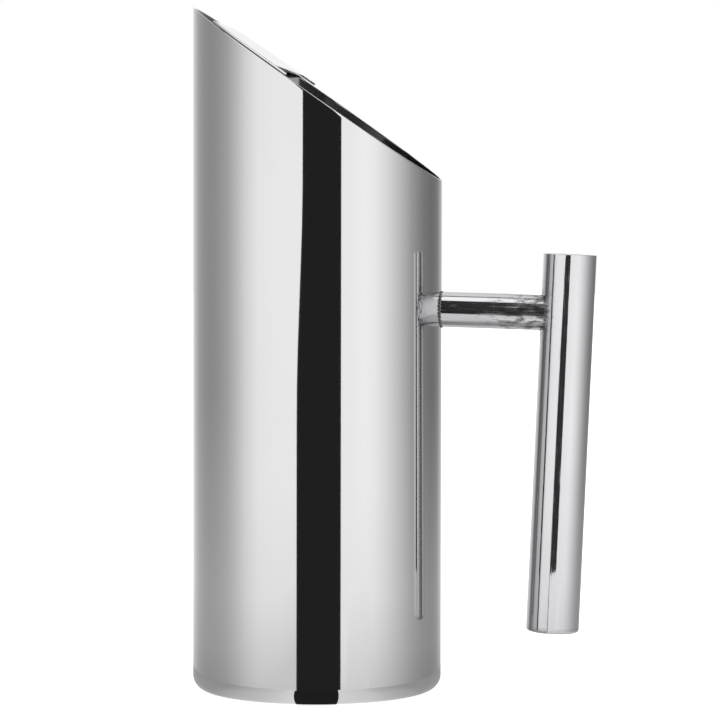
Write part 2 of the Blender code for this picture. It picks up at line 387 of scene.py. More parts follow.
@dataclass(frozen=True)
class SteelFinish:
    """A stainless steel surface: how it was polished, and the marks that this leaves.

    The steel is a bare metal, so it keeps the default IOR and is all reflection. Low roughness
    shows the room sharply. Fine lines in the bump smear highlights across the grain, and a slow
    wave in the sheet bends them a little, as on any thin rolled tube. The lines are drawn coarser
    than real polishing lines, so that they show.
    """

    name: str
    colour: str
    roughness: float
    haze: float
    grain: Grain
    line_width_mm: float
    line_length_mm: float
    line_depth_mm: float
    wave_length_mm: float
    wave_depth_mm: float
    scratches: float = 0.0
    film: float = 0.0
    patch: WornPatch | None = None

    def lines(self, tree: NodeTree, point: NodeSocket) -> NodeSocket:
        """Fine polishing lines.

        Args:
            tree: the material's nodes.
            point: the coordinates that the lines follow.

        Returns:
            A value round 0.5 that changes fast across the grain and slowly along it.
        """
        across = 1.0 / (self.line_width_mm * MM)
        along = 1.0 / (self.line_length_mm * MM)
        scale = [across if part else along for part in self.grain.value]
        stretched = add(tree, "Mapping", {"Scale": scale}, {"Vector": point})
        return add(tree, "TexNoise", {"Scale": 1.0, "Detail": 3.0, "Roughness": 0.6},
                   {"Vector": stretched.outputs["Vector"]}).outputs["Fac"]

    def scratch_mask(self, tree: NodeTree, point: NodeSocket) -> NodeSocket:
        """A few longer hairline scratches that lean across the grain.

        Args:
            tree: the material's nodes.
            point: the coordinates that the scratches follow.

        Returns:
            1 in a scratch and 0 outside it.
        """
        across, along = SCRATCHES_PER_METRE
        scale = [across if part else along for part in self.grain.value]
        lean = add(tree, "Mapping", {"Rotation": SCRATCH_LEAN, "Scale": scale}, {"Vector": point})
        hair = add(tree, "TexNoise", {"Scale": 1.0, "Detail": 1.0}, {"Vector": lean.outputs["Vector"]})
        return add(tree, "MapRange", {"From Min": SCRATCH_CUT[0], "From Max": SCRATCH_CUT[1]},
                   {"Value": hair.outputs["Fac"]}).outputs["Result"]

    def shade(self, tree: NodeTree, shader: Node, point: NodeSocket) -> None:
        """Wire colour, roughness and relief into the shader.

        Args:
            tree: the material's nodes.
            shader: its Principled BSDF.
            point: the piece's coordinates.
        """
        lines = self.lines(tree, point)
        slow = add(tree, "TexNoise", {"Scale": 1.0 / (self.wave_length_mm * MM), "Detail": 1.5},
                   {"Vector": point}).outputs["Fac"]
        low = self.roughness
        rough = add(tree, "MapRange", {"To Min": low, "To Max": low + self.haze}, {"Value": lines})
        result = rough.outputs["Result"]
        if self.scratches:
            mask = self.scratch_mask(tree, point)
            worn = add(tree, "Math", {"operation": "MULTIPLY", 1: self.scratches}, {0: mask})
            result = add(tree, "Math", {"operation": "ADD"}, {0: result, 1: worn.outputs[0]}).outputs[0]
        if self.patch:
            share = self.patch.share(tree, point)
            result = add(tree, "Math", {"operation": "MULTIPLY_ADD", 1: self.patch.haze},
                         {0: share, 2: result}).outputs[0]
        tree.links.new(result, shader.inputs["Roughness"])
        wave = add(tree, "Bump", {"Strength": 1.0, "Distance": self.wave_depth_mm * MM}, {"Height": slow})
        relief = add(tree, "Bump", {"Strength": 1.0, "Distance": self.line_depth_mm * MM},
                     {"Height": lines, "Normal": wave.outputs["Normal"]})
        tree.links.new(relief.outputs["Normal"], shader.inputs["Normal"])
        tint = add(tree, "MapRange", {"To Min": TINT_LOW, "To Max": 1.0}, {"Value": slow})
        colour = add(tree, "Mix", {"data_type": "RGBA", "blend_type": "MULTIPLY", "Factor": 1.0,
                                   6: linear(self.colour)}, {7: tint.outputs["Result"]})
        shown = colour.outputs[2]
        if self.patch and self.patch.stain:
            smudges = self.patch.smudges(tree, point, share)
            shown = add(tree, "Mix", {"data_type": "RGBA", "blend_type": "MULTIPLY", "Factor": 1.0},
                        {6: shown, 7: smudges}).outputs[2]
        tree.links.new(shown, shader.inputs["Base Color"])

    def material(self) -> Material:
        """Make the finish as a material.

        Returns:
            The material.
        """
        material = bpy.data.materials.new(self.name)
        material.use_nodes = True
        tree = material.node_tree
        shader = tree.nodes["Principled BSDF"]
        shader.inputs["Metallic"].default_value = 1.0
        shader.inputs["Coat Weight"].default_value = self.film
        shader.inputs["Coat Roughness"].default_value = FILM_ROUGHNESS
        self.shade(tree, shader, add(tree, "TexCoord").outputs["Object"])
        return material


# Rolled 304 tube, buffed to a mirror: a sharp, slightly wavy picture of the room.
MIRROR = SteelFinish("mirror_buffed_304_tube", "#C8C8C9", roughness=0.025, haze=0.03, grain=Grain.UPRIGHT,
                     line_width_mm=0.5, line_length_mm=30.0, line_depth_mm=0.00001,
                     wave_length_mm=90.0, wave_depth_mm=0.03)
# The same steel inside, finely polished. Its colour is darkened as painted shade, and a film lies on it,
# so that past the rim it looks as dark as the shaded inside of a deep vessel does.
INSIDE_PAINTED_SHADE = SteelFinish("polished_304_inside_painted_shade", "#7E7E80", roughness=0.05, haze=0.05, grain=Grain.ROUND,
                     line_width_mm=0.25, line_length_mm=25.0, line_depth_mm=0.00005,
                     wave_length_mm=60.0, wave_depth_mm=0.008, film=1.0)
# Pressed and spun base, turned against a satin wheel: faint level lines.
SPUN = SteelFinish("spun_304_underside", "#BEBEC0", roughness=0.16, haze=0.12, grain=Grain.ROUND,
                   line_width_mm=0.3, line_length_mm=30.0, line_depth_mm=0.0005,
                   wave_length_mm=60.0, wave_depth_mm=0.01)
# Guard plate, sheared and buffed flat: bright, with a light haze.
PLATE = SteelFinish("buffed_304_plate", "#C8C8C9", roughness=0.06, haze=0.06, grain=Grain.LEVEL_X,
                    line_width_mm=0.3, line_length_mm=25.0, line_depth_mm=0.0001,
                    wave_length_mm=50.0, wave_depth_mm=0.01)
# Handled tube: mirror buffed, then dulled by hairline scratches and a faint film, and stained by
# heat where the arm is welded on.
HANDLE = SteelFinish("hand_worn_304_tube", "#C4C4C6", roughness=0.03, haze=0.04, grain=Grain.UPRIGHT,
                     line_width_mm=0.25, line_length_mm=12.0, line_depth_mm=0.00002,
                     wave_length_mm=40.0, wave_depth_mm=0.004, scratches=0.15, film=0.6,
                     patch=WornPatch((0.084, 0.0, 0.154), near=0.008, far=0.022, haze=0.02, stain=0.75))
# The arm's tube: drawn along its length, so its hairlines run from the body to the grip, and
# hazed and stained by heat at the grip's end.
ARM = SteelFinish("drawn_304_arm", "#C4C4C6", roughness=0.03, haze=0.04, grain=Grain.LEVEL_X,
                  line_width_mm=0.25, line_length_mm=14.0, line_depth_mm=0.00002,
                  wave_length_mm=30.0, wave_depth_mm=0.004, scratches=0.20, film=0.5,
                  patch=WornPatch((0.089, 0.0, 0.153), near=0.002, far=0.034, haze=0.15, stain=0.85))
# Bare weld metal: a darker grey than the tubes, and uneven.
BEAD = SteelFinish("bare_weld_bead", "#6A6867", roughness=0.06, haze=0.12, grain=Grain.ROUND,
                   line_width_mm=0.6, line_length_mm=2.0, line_depth_mm=0.004,
                   wave_length_mm=6.0, wave_depth_mm=0.02)
# Seams dressed flush with a finer wheel: nearly the mirror's own gloss.
DRESSED = SteelFinish("dressed_weld_seam", "#C7C7C8", roughness=0.03, haze=0.03, grain=Grain.ROUND,
                      line_width_mm=0.2, line_length_mm=20.0, line_depth_mm=0.0001,
                      wave_length_mm=60.0, wave_depth_mm=0.006)


# ---------------------------------------------------------------- pieces

@dataclass
class Kit:
    """What every sub-assembly does with a finished piece."""

    made: list[str] = field(default_factory=list)

    def keep(self, item: Object, finish: SteelFinish, slot: str, *nodes: str) -> None:
        """Dress a piece, seat it on the body and report it.

        Args:
            item: the finished piece.
            finish: its surface.
            slot: the record's material slot that it follows; not used.
            nodes: the CAD nodes that it stands for.
        """
        if not item.data.materials:
            item.data.materials.append(finish.material())
        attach(item, ROOT)
        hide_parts(*nodes)
        self.made.append(item.name)
        LOG.info("%s: %d faces, %s", item.name, len(item.data.polygons), finish.name)


@dataclass
class Vessel(Kit):
    """The body tube, the pressed pan under it and the flush seam between them."""

    sides: int = 256
    wall: float = 0.8 * MM
    rim_slope: float = 0.696
    rim_round: float = 0.28 * MM
    rim_support: float = 0.8 * MM
    rows: int = 48
    corner: float = 5.5 * MM
    corner_steps: int = 12

    def __post_init__(self) -> None:
        """Read the driving sizes from the frame."""
        low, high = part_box("body_tube")
        self.radius = high.x
        self.tip = high.z
        self.tube_foot = low.z
        self.pan_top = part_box("base_pan")[1].z
        self.rim_angle = math.atan(self.rim_slope)
        self.rim_middle = Vector((0.0, 0.0, self.tip - self.rim_slope * self.radius))
        self.rim_normal = Vector((math.sin(self.rim_angle), 0.0, math.cos(self.rim_angle)))

    def above_rim(self, point: Vector) -> float:
        """How far a point lies above the plane of the rim."""
        return (point - self.rim_middle).dot(self.rim_normal)

    def slant_ring(self, item: Object, height: float) -> None:
        """Tilt a tube's top ring into a plane parallel to the rim.

        Args:
            item: the tube, still straight.
            height: the ring's height on the axis.
        """
        centre = (0.0, 0.0, height)
        stretch = 1.0 / math.cos(self.rim_angle)
        with editing(item):
            half = (height + item.data.vertices[0].co.z) / 2
            select(item, Pick.VERTS, lambda vert: vert.co.z > half)
            before = self.tilt_of(item)
            bpy.ops.transform.rotate(value=self.rim_angle, orient_axis="Y", center_override=centre)
            if self.tilt_of(item) > before:
                bpy.ops.transform.rotate(value=-2 * self.rim_angle, orient_axis="Y", center_override=centre)
            bpy.ops.transform.resize(value=(stretch, 1.0, stretch), center_override=centre)

    @staticmethod
    def tilt_of(item: Object) -> float:
        """The height of the handle-side point of the selected ring."""
        form = bmesh.from_edit_mesh(item.data)
        return max((vert for vert in form.verts if vert.select), key=lambda vert: vert.co.x).co.z

    def build_tube(self) -> Object:
        """The slant-cut tube, with its rim rounded by the polishing wheel.

        Returns:
            The tube.
        """
        spare = 3.0 * MM
        top = self.rim_middle.z + spare
        foot = self.tube_foot
        tube = cylinder("pitcher_body_wall", self.radius, top - foot, self.sides, False,
                        Matrix.Translation((0.0, 0.0, (top + foot) / 2)))
        apply_place()
        self.slant_ring(tube, top)
        add_rows(tube, self.rows)
        add_wall(tube, self.wall)
        with editing(tube):
            for depth, clear in ((0.0, True), (self.rim_support, False)):
                bpy.ops.mesh.select_all(action="SELECT")
                spot = self.rim_middle - self.rim_normal * depth
                bpy.ops.mesh.bisect(plane_co=spot, plane_no=self.rim_normal, use_fill=False,
                                    clear_outer=clear, threshold=0.00001)
            select(tube, Pick.EDGES, lambda edge: edge.is_boundary)
            bpy.ops.mesh.bridge_edge_loops()
            select(tube, Pick.EDGES, self.is_rim_line)
            bpy.ops.mesh.bevel(offset=self.rim_round, segments=3)
        return settle(tube)

    def is_rim_line(self, edge: BMEdge) -> bool:
        """Tell whether an edge runs along the rim, on its outer or its inner side.

        Args:
            edge: an edge of the tube.

        Returns:
            True for the two lines that are rounded.
        """
        tiny = 0.00002
        spokes = [math.hypot(vert.co.x, vert.co.y) for vert in edge.verts]
        level = all(abs(self.above_rim(vert.co)) < tiny for vert in edge.verts)
        return level and abs(spokes[0] - spokes[1]) < self.wall / 4

    def dress_tube(self, tube: Object) -> None:
        """Give the outside the mirror and the inside its softer polish, its colour darkened as painted shade.

        Args:
            tube: the finished tube.
        """
        tube.data.materials.append(MIRROR.material())
        tube.data.materials.append(INSIDE_PAINTED_SHADE.material())
        with editing(tube):
            tube.active_material_index = 1
            deep = self.radius - self.wall * 0.9
            select(tube, Pick.FACES,
                   lambda face: all(math.hypot(v.co.x, v.co.y) < deep for v in face.verts))
            bpy.ops.object.material_slot_assign()

    def build_pan(self) -> Object:
        """The pressed pan: a flat disc turned up round a soft corner.

        Returns:
            The pan.
        """
        top = self.pan_top
        pan = cylinder("pitcher_base_pan", self.radius, top, self.sides, True,
                       Matrix.Translation((0.0, 0.0, top / 2)))
        apply_place()
        with editing(pan):
            select(pan, Pick.FACES, lambda face: face.normal.z > 0.9)
            bpy.ops.mesh.delete(type="ONLY_FACE")
            select(pan, Pick.EDGES, lambda edge: middle(edge).z < top / 4)
            bpy.ops.mesh.bevel(offset=self.corner, segments=self.corner_steps)
            for step in (0.5 * MM, 8.0 * MM, 12.0 * MM, 12.0 * MM):
                select(pan, Pick.FACES, lambda face: face.normal.z < -0.9 and len(face.verts) > 4)
                bpy.ops.mesh.inset(thickness=step)
        add_wall(pan, self.wall)
        return settle(pan)

    def dress_pan(self, pan: Object) -> None:
        """Polish the pan's corner and leave its flat faces satin.

        Args:
            pan: the finished pan.
        """
        pan.data.materials.append(MIRROR.material())
        pan.data.materials.append(SPUN.material())
        with editing(pan):
            pan.active_material_index = 1
            flat = self.radius - self.corner
            select(pan, Pick.FACES, lambda face: math.hypot(*middle(face).xy) < flat
                   or self.is_inner(face))
            bpy.ops.object.material_slot_assign()

    def is_inner(self, face: BMFace) -> bool:
        """Whether a face looks into the vessel."""
        spot = middle(face)
        return face.normal.dot(Vector((spot.x, spot.y, -self.radius))) < 0.0

    def build_seam(self) -> Object:
        """The seam weld, dressed flush with the tube and the pan.

        Returns:
            The seam, a ring that fills the space between them.
        """
        foot, top = self.pan_top, self.tube_foot
        seam = cylinder("pitcher_base_seam", self.radius, top - foot, self.sides, False,
                        Matrix.Translation((0.0, 0.0, (top + foot) / 2)))
        add_rows(seam, 1)
        add_wall(seam, self.wall)
        return settle(seam)

    def build(self) -> None:
        """Make, dress and keep the three pieces."""
        tube = self.build_tube()
        self.dress_tube(tube)
        self.keep(tube, MIRROR, "mirror_steel", "body_tube")
        pan = self.build_pan()
        self.dress_pan(pan)
        self.keep(pan, MIRROR, "base_steel", "base_pan")
        self.keep(self.build_seam(), DRESSED, "ground_seam", "base_seam_weld")


@dataclass
class IceGuard(Kit):
    """The plate that lies across the mouth and keeps ice back, with its four tack welds."""

    vessel: Vessel = field(default_factory=Vessel)
    front_x: float = -38.8 * MM
    rear_x: float = -12.2 * MM
    corner: float = 5.0 * MM
    corner_steps: int = 10
    horn: float = 0.6 * MM
    thickness: float = 0.9 * MM
    lift: float = 0.3 * MM
    edge: float = 0.25 * MM
    tack_size: float = 0.55 * MM
    tack_dimes: int = 7
    # Shares of a dime's radius: how far a tack stands off the wall and hangs below the rim's plane
    tack_in: float = 0.3
    tack_below: float = 0.8

    def build_plate(self) -> Object:
        """The plate, cut from a disc that fits the slanted rim.

        Returns:
            The plate, in place on the rim.
        """
        vessel = self.vessel
        stretch = 1.0 / math.cos(vessel.rim_angle)
        plate = cylinder("pitcher_ice_guard", vessel.radius, self.thickness, vessel.sides, True)
        with editing(plate):
            bpy.ops.mesh.select_all(action="SELECT")
            bpy.ops.transform.resize(value=(stretch, 1.0, 1.0), center_override=(0.0, 0.0, 0.0))
            for end, side in ((self.front_x, -1.0), (self.rear_x + self.corner, 1.0)):
                bpy.ops.mesh.select_all(action="SELECT")
                bpy.ops.mesh.bisect(plane_co=(end * stretch, 0.0, 0.0), plane_no=(side, 0.0, 0.0),
                                    use_fill=True, clear_outer=True)
        carve(plate, self.rear_tool(stretch))
        soften_edges(plate, self.edge, angle=50.0)
        height = self.lift + self.thickness / 2
        plate.matrix_world = standing(vessel.rim_middle + vessel.rim_normal * height, vessel.rim_normal)
        apply_modifiers(plate)
        apply_place()
        return plate

    def rear_tool(self, stretch: float) -> Object:
        """The shape cut away behind the guard: a block whose front corners are round.

        Args:
            stretch: how much longer the plate is along the slope than in plan.

        Returns:
            The block.
        """
        vessel = self.vessel
        start = self.rear_x * stretch
        length = 2.5 * vessel.radius
        horn_x = self.rear_x + self.corner
        width = 2 * (math.sqrt(vessel.radius ** 2 - horn_x ** 2) - self.horn)
        deselect()
        bpy.ops.mesh.primitive_cube_add(size=1.0, location=(start + length / 2, 0.0, 0.0))
        tool = bpy.context.object
        tool.scale = (length, width, 10 * self.thickness)
        apply_place()
        with editing(tool):
            select(tool, Pick.EDGES, lambda edge: abs(edge_line(edge).z) > 0.9
                   and middle(edge).x < start + length / 2)
            bpy.ops.mesh.bevel(offset=self.corner, segments=self.corner_steps)
        return tool

    def build_tack(self, node: str) -> Object:
        """One tack: a short run of weld dimes in the corner between the plate and the wall.

        Args:
            node: the CAD node that the tack stands for.

        Returns:
            The tack.
        """
        vessel = self.vessel
        low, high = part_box(node)
        side = math.copysign(1.0, low.y)
        ring = vessel.radius - vessel.wall - self.tack_in * self.tack_size
        below = self.tack_below * self.tack_size
        start, end = low.x + self.tack_size, high.x - self.tack_size
        spots = []
        for i in range(self.tack_dimes):
            x = start + (end - start) * i / (self.tack_dimes - 1)
            z = vessel.rim_middle.z - vessel.rim_slope * x - below
            spots.append(Vector((x, side * math.sqrt(ring ** 2 - x ** 2), z)))
        return weld_run("pitcher_" + node, spots, self.tack_size)

    def build(self) -> None:
        """Make, dress and keep the plate and its tacks."""
        self.keep(self.build_plate(), PLATE, "guard_steel", "ice_guard")
        for place in ("front", "rear"):
            for hand in ("left", "right"):
                node = f"guard_tack_{place}_{hand}"
                self.keep(self.build_tack(node), BEAD, "weld_metal", node)


# How unevenly a welder lays dimes, and how finely they are melted together
DIME_SWELL = 0.06
DIME_RHYTHM = 2.4
VOXELS_PER_DIME = 7


def weld_run(name: str, spots: list[Vector], size: float, smoothing: int = 3) -> Object:
    """Lay weld metal as one dime beside another, then melt them together.

    Args:
        name: the new piece's name.
        spots: the dimes' middles, in the order that they were laid.
        size: a dime's radius.
        smoothing: how many times the melted surface is relaxed.

    Returns:
        One closed bead.
    """
    deselect()
    bpy.ops.mesh.primitive_uv_sphere_add(segments=20, ring_count=12, radius=size, location=spots[0])
    first = bpy.context.object
    dimes = [first]
    for i, spot in enumerate(spots[1:], start=1):
        dime = first.copy()
        dime.data = first.data.copy()
        dime.location = spot
        swell = 1.0 + DIME_SWELL * math.sin(DIME_RHYTHM * i)
        dime.scale = (swell, swell, swell)
        bpy.context.collection.objects.link(dime)
        dimes.append(dime)
    deselect()
    for dime in dimes:
        dime.select_set(True)
    bpy.context.view_layer.objects.active = first
    bpy.ops.object.join()
    first.name = name
    first.data.name = name
    apply_place()
    melt = first.modifiers.new("melt", "REMESH")
    melt.mode = "VOXEL"
    melt.voxel_size = size / VOXELS_PER_DIME
    relax = first.modifiers.new("relax", "SMOOTH")
    relax.factor = 0.5
    relax.iterations = smoothing
    return settle(first, 180.0)


@dataclass
class Handle(Kit):
    """The arm, its two weld beads, and the grip with its caps and seams."""

    vessel: Vessel = field(default_factory=Vessel)
    sides: int = 160
    arm_wall: float = 1.0 * MM
    arm_drop: float = 0.027
    arm_rows: int = 24
    sink: float = 0.4 * MM
    grip_wall: float = 1.0 * MM
    grip_rows: int = 40
    cad_gap: float = 0.3 * MM
    top_height: float = 1.2 * MM
    foot_height: float = 2.6 * MM
    top_round: float = 0.30 * MM
    foot_round: float = 1.4 * MM
    seam_depth: float = 0.07 * MM
    seam_height: float = 0.3 * MM
    dime: float = 0.90 * MM
    dimes: int = 30
    # Shares of a dime's radius: its depth in the arm, its offset from each tube, and the grip's dime
    bead_sink: float = 0.65
    body_offset: float = 0.2
    grip_offset: float = 0.05
    grip_dime: float = 0.85

    def __post_init__(self) -> None:
        """Read the driving sizes from the frame."""
        bead_low, bead_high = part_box("arm_body_weld")
        self.arm_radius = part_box("handle_arm")[1].y
        self.arm_axis = Vector((1.0, 0.0, -self.arm_drop)).normalized()
        self.arm_start = Vector((self.vessel.radius, 0.0, (bead_low.z + bead_high.z) / 2))
        self.grip_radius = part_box("grip_top_seam_weld")[1].y
        top_seam, foot_seam = [self.box_middle(f"grip_{end}_seam_weld") for end in ("top", "bottom")]
        self.grip_axis = (top_seam - foot_seam).normalized()
        beyond = self.cad_gap + self.seam_band() / 2
        self.grip_top = top_seam + self.grip_axis * (beyond + self.top_height)
        self.grip_foot = foot_seam - self.grip_axis * (beyond + self.foot_height)

    @staticmethod
    def box_middle(node: str) -> Vector:
        """The middle of a CAD node's box."""
        low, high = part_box(node)
        return (low + high) / 2

    def seam_band(self) -> float:
        """The height of the CAD seam rings, measured along the grip."""
        low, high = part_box("grip_top_seam_weld")
        return (high.z - low.z - 2 * self.grip_radius * self.grip_axis.x) / self.grip_axis.z

    def on_grip(self, name: str, start: float, end: float, radius: float, capped: bool) -> Object:
        """A cylinder on the grip's axis, between two heights above its foot.

        Args:
            name: the new object's name.
            start: its lower end.
            end: its upper end.
            radius: its radius.
            capped: whether its ends are closed.

        Returns:
            The cylinder, its place not yet applied.
        """
        spot = self.grip_foot + self.grip_axis * ((start + end) / 2)
        return cylinder(name, radius, end - start, self.sides, capped, standing(spot, self.grip_axis))

    def build_grip(self) -> Object:
        """The grip's tube, from one cap seam to the other.

        Returns:
            The tube.
        """
        end = self.length() - self.top_height - self.seam_height
        start = self.foot_height + self.seam_height
        tube = self.on_grip("pitcher_grip_tube", start, end, self.grip_radius, False)
        add_rows(tube, self.grip_rows)
        add_wall(tube, self.grip_wall)
        return settle(tube)

    def length(self) -> float:
        """The grip's whole length, with its caps."""
        return (self.grip_top - self.grip_foot).length

    def build_cap(self, name: str, start: float, height: float, roundness: float,
                  upper: bool) -> Object:
        """A solid cap whose outer edge is rounded, with rings on its face as a lathe leaves.

        Args:
            name: the new piece's name.
            start: its lower end above the grip's foot.
            height: its thickness.
            roundness: the radius of its outer edge.
            upper: whether its free face looks up.

        Returns:
            The cap.
        """
        cap = self.on_grip(name, start, start + height, self.grip_radius, True)
        side = 1.0 if upper else -1.0
        with editing(cap):
            select(cap, Pick.EDGES, lambda edge: all(v.co.z * side > 0.0 for v in edge.verts))
            bpy.ops.mesh.bevel(offset=roundness, segments=8)
            for step in (0.3 * MM, 3.0 * MM, 3.0 * MM):
                select(cap, Pick.FACES, lambda face: abs(face.normal.z) > 0.9 and len(face.verts) > 4)
                bpy.ops.mesh.inset(thickness=step)
        return settle(cap)

    def build_cap_seam(self, name: str, start: float) -> Object:
        """The seam between the grip's tube and a cap, a hair below their surface.

        Args:
            name: the new piece's name.
            start: its lower end above the grip's foot.

        Returns:
            The seam, a ring.
        """
        ring = self.on_grip(name, start, start + self.seam_height, self.grip_radius - self.seam_depth, False)
        add_rows(ring, 1)
        add_wall(ring, self.grip_wall)
        return settle(ring)

    def build_arm(self) -> Object:
        """The arm's tube, coped to the body's wall and to the grip.

        Returns:
            The tube.
        """
        end = self.grip_top.x
        spot = self.arm_start + self.arm_axis * ((end - self.arm_start.x) / 2)
        margin = 6.0 * MM
        arm = cylinder("pitcher_handle_arm", self.arm_radius, end - self.arm_start.x + margin, self.sides,
                       False, standing(spot, self.arm_axis))
        add_rows(arm, self.arm_rows)
        add_wall(arm, self.arm_wall)
        reach = 6 * self.arm_radius
        carve(arm, cylinder("body_tool", self.vessel.radius - self.sink, reach, self.vessel.sides, True,
                            Matrix.Translation(self.arm_start - Vector((self.vessel.radius, 0.0, 0.0)))))
        carve(arm, self.on_grip("grip_tool", 0.0, self.length() + reach, self.grip_radius - self.sink, True))
        with editing(arm):
            past = (self.grip_top.x + self.grip_foot.x) / 2
            select(arm, Pick.FACES, lambda face: (arm.matrix_world @ middle(face)).x > past)
            bpy.ops.mesh.delete(type="FACE")
        return settle(arm)

    def saddle(self, spine: Vector, axis: Vector, radius: float, ring: float, side: float) -> list[Vector]:
        """The line on which a bead runs round the arm, where it meets a larger tube.

        Args:
            spine: a point on the larger tube's axis.
            axis: the direction of that axis.
            radius: the bead line's distance from it.
            ring: the bead line's distance from the arm's axis.
            side: -1 for the nearer crossing along the arm, +1 for the further one.

        Returns:
            The dimes' middles.
        """
        across = Vector((0.0, 1.0, 0.0))
        upright = self.arm_axis.cross(across)
        run = self.arm_axis - axis * self.arm_axis.dot(axis)
        line = []
        for i in range(self.dimes):
            angle = 2.0 * math.pi * i / self.dimes
            start = self.arm_start + across * (ring * math.cos(angle)) + upright * (ring * math.sin(angle))
            away = start - spine
            away -= axis * away.dot(axis)
            half, rest = away.dot(run), away.dot(away) - radius ** 2
            reach = (-half + side * math.sqrt(half * half - run.dot(run) * rest)) / run.dot(run)
            line.append(start + self.arm_axis * reach)
        return line

    def build_beads(self) -> list[Object]:
        """The two weld beads round the arm's ends, hardly prouder than the arm.

        Returns:
            The bead at the body and the bead at the grip.
        """
        ring = self.arm_radius - self.bead_sink * self.dime
        body_line = self.vessel.radius + self.body_offset * self.dime
        grip_line = self.grip_radius + self.grip_offset * self.dime
        at_body = self.saddle(Vector(), UP, body_line, ring, 1.0)
        at_grip = self.saddle(self.grip_foot, self.grip_axis, grip_line, ring, -1.0)
        return [weld_run("pitcher_arm_body_weld", at_body, self.dime, 1),
                weld_run("pitcher_arm_grip_weld", at_grip, self.grip_dime * self.dime, 6)]

    def build(self) -> None:
        """Make, dress and keep the eight pieces."""
        self.keep(self.build_arm(), ARM, "handle_steel", "handle_arm")
        for bead, node in zip(self.build_beads(), ("arm_body_weld", "arm_grip_weld")):
            self.keep(bead, BEAD, "weld_metal", node)
        self.keep(self.build_grip(), HANDLE, "handle_steel", "grip_tube")
        top_start = self.length() - self.top_height
        top_cap = self.build_cap("pitcher_grip_top_cap", top_start, self.top_height, self.top_round, True)
        self.keep(top_cap, HANDLE, "handle_steel", "grip_top_cap")
        foot_cap = self.build_cap("pitcher_grip_bottom_cap", 0.0, self.foot_height, self.foot_round, False)
        self.keep(foot_cap, HANDLE, "handle_steel", "grip_bottom_cap")
        for name, start in (("top", top_start - self.seam_height), ("bottom", self.foot_height)):
            seam = self.build_cap_seam(f"pitcher_grip_{name}_seam", start)
            self.keep(seam, DRESSED, "ground_seam", f"grip_{name}_seam_weld")


# ---------------------------------------------------------------- room and camera

